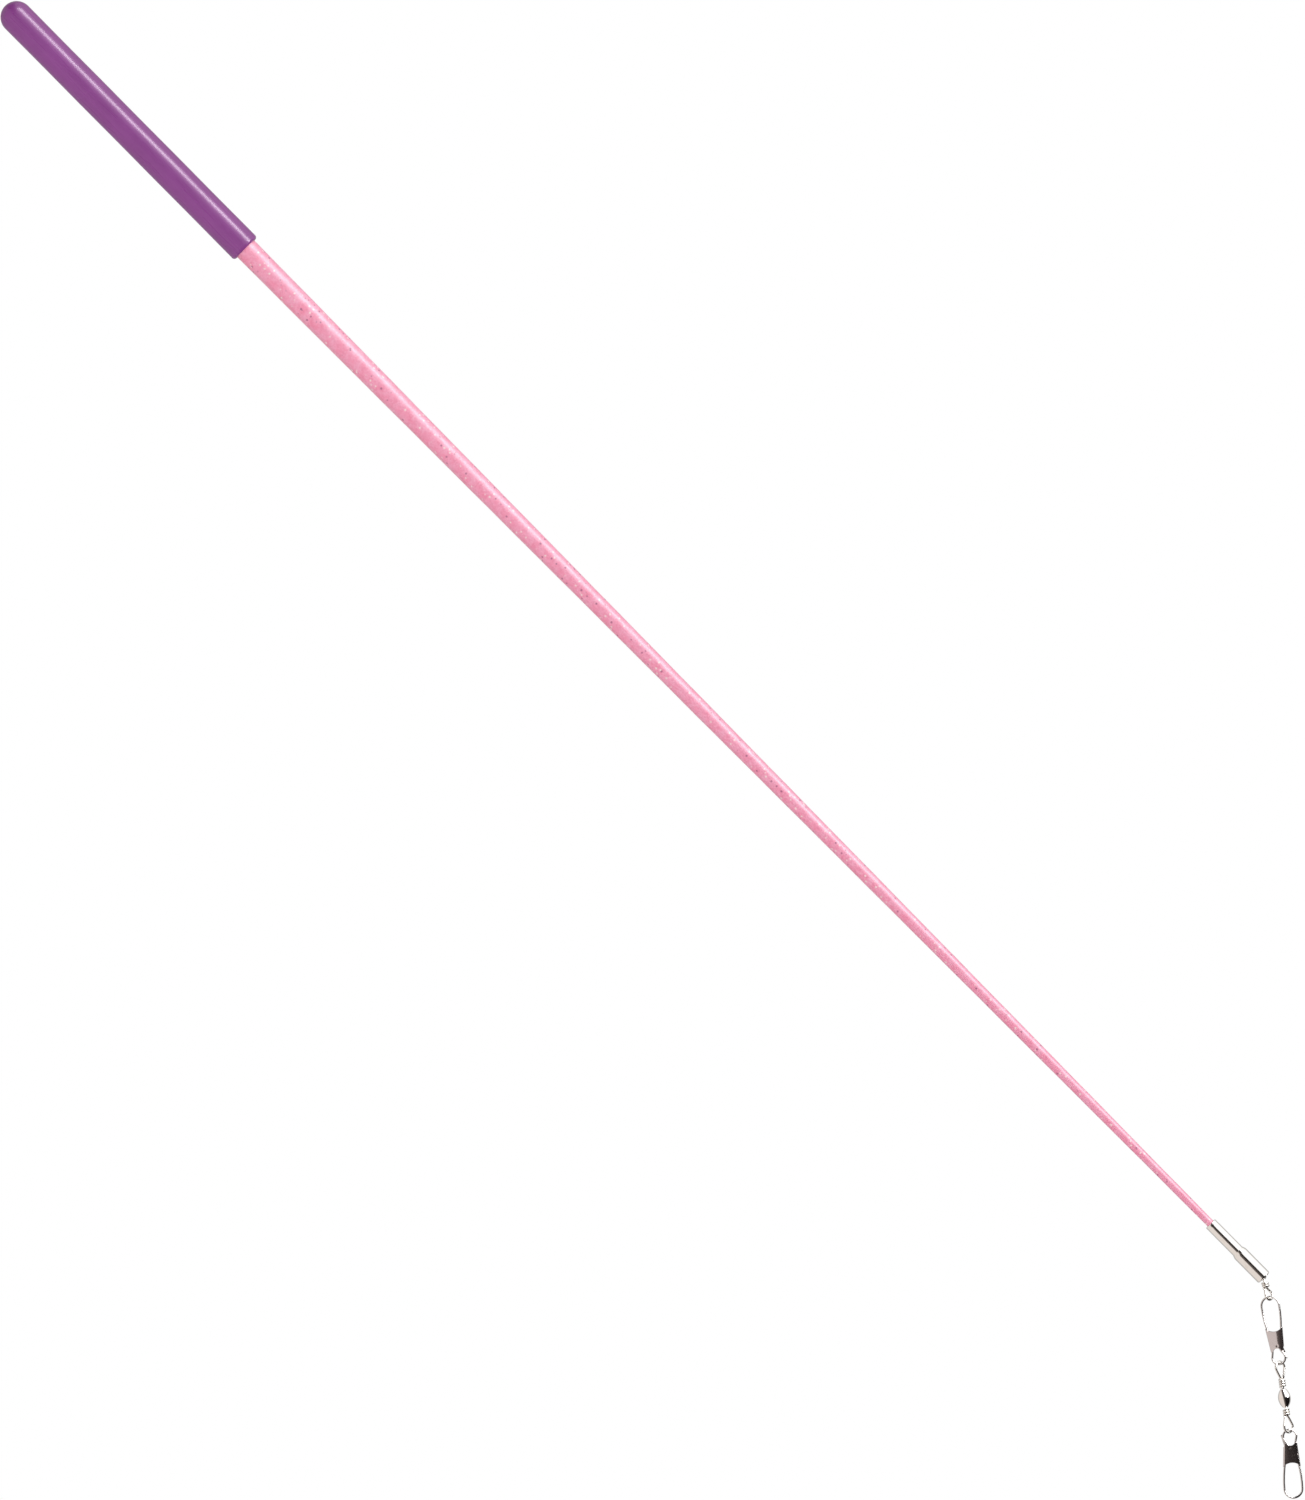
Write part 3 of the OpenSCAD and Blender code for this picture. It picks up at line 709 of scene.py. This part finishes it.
def make_camera():
    """A long lens level with the object, looking along +Y, rolled so that the chain leans as it hangs."""
    roll = math.radians(ROLL)
    right = Vector((math.cos(roll), 0, math.sin(roll)))
    up = Vector((-math.sin(roll), 0, math.cos(roll)))
    camera = bpy.data.objects.new("camera", bpy.data.cameras.new("camera"))
    camera.data.lens, camera.data.sensor_width = LENS, SENSOR
    camera.data.clip_end = 100
    turn = Matrix((right, up, -AWAY)).transposed().to_4x4()
    camera.matrix_world = Matrix.Translation(LOOK_AT - AWAY * CAMERA_DISTANCE) @ turn
    bpy.context.scene.collection.objects.link(camera)
    bpy.context.scene.camera = camera
    return right, up


CAMERA_RIGHT, CAMERA_UP = make_camera()

# ---- Studio -------------------------------------------------------------------------------------


def make_floor():
    """A pale round floor well below the object, which fades into the background at its rim."""
    low, high = CAD_BOX
    rings, radius, drop = 6, 2.4, 0.16
    verts, faces = lathe([(0, 0)] + [(radius * (k + 1) / rings, 0) for k in range(rings)], closed=False)
    mesh = bpy.data.meshes.new("floor")
    mesh.from_pydata(verts, [], faces)
    floor = bpy.data.objects.new("floor", mesh)
    floor.location = ((low.x + high.x) / 2, 0, low.z - drop)
    floor.visible_glossy = False
    bpy.context.scene.collection.objects.link(floor)
    material, n, shader = new_material("pale_floor")
    away = n.add("ShaderNodeVectorMath")
    away.operation = "LENGTH"
    n.put(away.inputs[0], n.coordinates("Object"))
    to_rim = n.math("DIVIDE", away.outputs["Value"], radius)
    n.put(shader.inputs["Alpha"], n.ramp(to_rim, (0.55, 1.0), (0.98, 0.0)))
    n.put(shader.inputs["Base Color"], (0.93, 0.93, 0.93, 1))
    n.put(shader.inputs["Roughness"], 0.9)
    paint(floor, material)


def picture_direction(right, up, towards):
    """A direction from its parts to the right and up in the picture and towards the camera."""
    return (CAMERA_RIGHT * right + CAMERA_UP * up - AWAY * towards).normalized()


def beyond(n, direction, edge, soft=0.03):
    """1 where the part of the view direction along a direction is over edge, and 0 where it is under."""
    part = n.add("ShaderNodeVectorMath")
    part.operation = "DOT_PRODUCT"
    n.put(part.inputs[0], n.coordinates("Generated"))
    n.put(part.inputs[1], direction)
    step = n.add("ShaderNodeMapRange", Value=part.outputs["Value"])
    step.interpolation_type = "SMOOTHSTEP"
    n.put(step.inputs["From Min"], edge - soft)
    n.put(step.inputs["From Max"], edge + soft)
    return step.outputs["Result"]


def mirrored_room_colour(n):
    """A dark room with a white light box at the upper right, a warm panel at the lower left with a glow round
    it, and the lit background far behind."""
    box_colour, panel_colour, glow_colour = (1.2, 1.2, 1.2, 1), (0.88, 0.81, 0.77, 1), (0.15, 0.125, 0.115, 1)
    dark, background = (0.008, 0.006, 0.006, 1), (0.55, 0.54, 0.53, 1)
    to_panel, to_box = picture_direction(-0.93, -0.37, 0), picture_direction(0.89, 0.46, 0)
    box = n.math("MULTIPLY", beyond(n, to_box, 0.30), beyond(n, CAMERA_UP, 0.18))
    colour = n.mix(beyond(n, to_panel, 0.08, 0.32), dark, glow_colour)
    colour = n.mix(beyond(n, to_panel, 0.39), colour, panel_colour)
    colour = n.mix(box, colour, box_colour)
    return n.mix(beyond(n, AWAY, 0.45, 0.2), colour, background)


def make_world():
    """White for the camera. Reflections show the mirrored room, and shading light is white but weaker from
    beyond the grip's end."""
    world = bpy.data.worlds.new("studio")
    bpy.context.scene.world = world
    world.use_nodes = True
    world.node_tree.nodes.clear()
    n = Nodes(world.node_tree)
    white, weak = (1, 1, 1, 1), (0.12, 0.12, 0.12, 1)
    past_grip = beyond(n, picture_direction(-0.72, 0.69, 0), 0.62, 0.36)
    mirrored_room = n.add("ShaderNodeBackground", Color=mirrored_room_colour(n))
    surroundings = n.add("ShaderNodeBackground", Color=n.mix(past_grip, white, weak), Strength=1.12)
    backdrop = n.add("ShaderNodeBackground", Color=white)
    rays = n.add("ShaderNodeLightPath")
    shown = surroundings
    for ray, light in (("Is Glossy Ray", mirrored_room), ("Is Camera Ray", backdrop)):
        choice = n.add("ShaderNodeMixShader", Fac=rays.outputs[ray])
        n.put(choice.inputs[1], shown.outputs[0])
        n.put(choice.inputs[2], light.outputs[0])
        shown = choice
    n.put(n.add("ShaderNodeOutputWorld").inputs["Surface"], shown.outputs[0])


def make_light(name, towards, distance, size, energy):
    """A light box that faces the middle of the object, with the first of its sizes along the stick."""
    low, high = CAD_BOX
    data = bpy.data.lights.new(name, "AREA")
    data.shape = "RECTANGLE"
    data.size, data.size_y = size
    data.energy = energy
    light = bpy.data.objects.new(name, data)
    x = (STICK_AXIS - towards * STICK_AXIS.dot(towards)).normalized()
    turn = Matrix((x, towards.cross(x), towards)).transposed().to_4x4()
    light.matrix_world = Matrix.Translation((low + high) / 2 + towards * distance) @ turn
    bpy.context.scene.collection.objects.link(light)
    return light


def make_lights():
    """A narrow strip that draws the thin highlight along grip and rod, and a soft box that shades them."""
    strip = make_light("strip", picture_direction(0.615, 0.615, 0.495), 1.5, (2.4, 0.44), 46)
    strip.visible_diffuse = False
    key = make_light("key", picture_direction(-0.1, 0.1, 1.0), 2.0, (1.2, 1.2), 6)
    key.visible_glossy = False


make_floor()
make_world()
make_lights()
bpy.context.scene.view_settings.view_transform = "Standard"
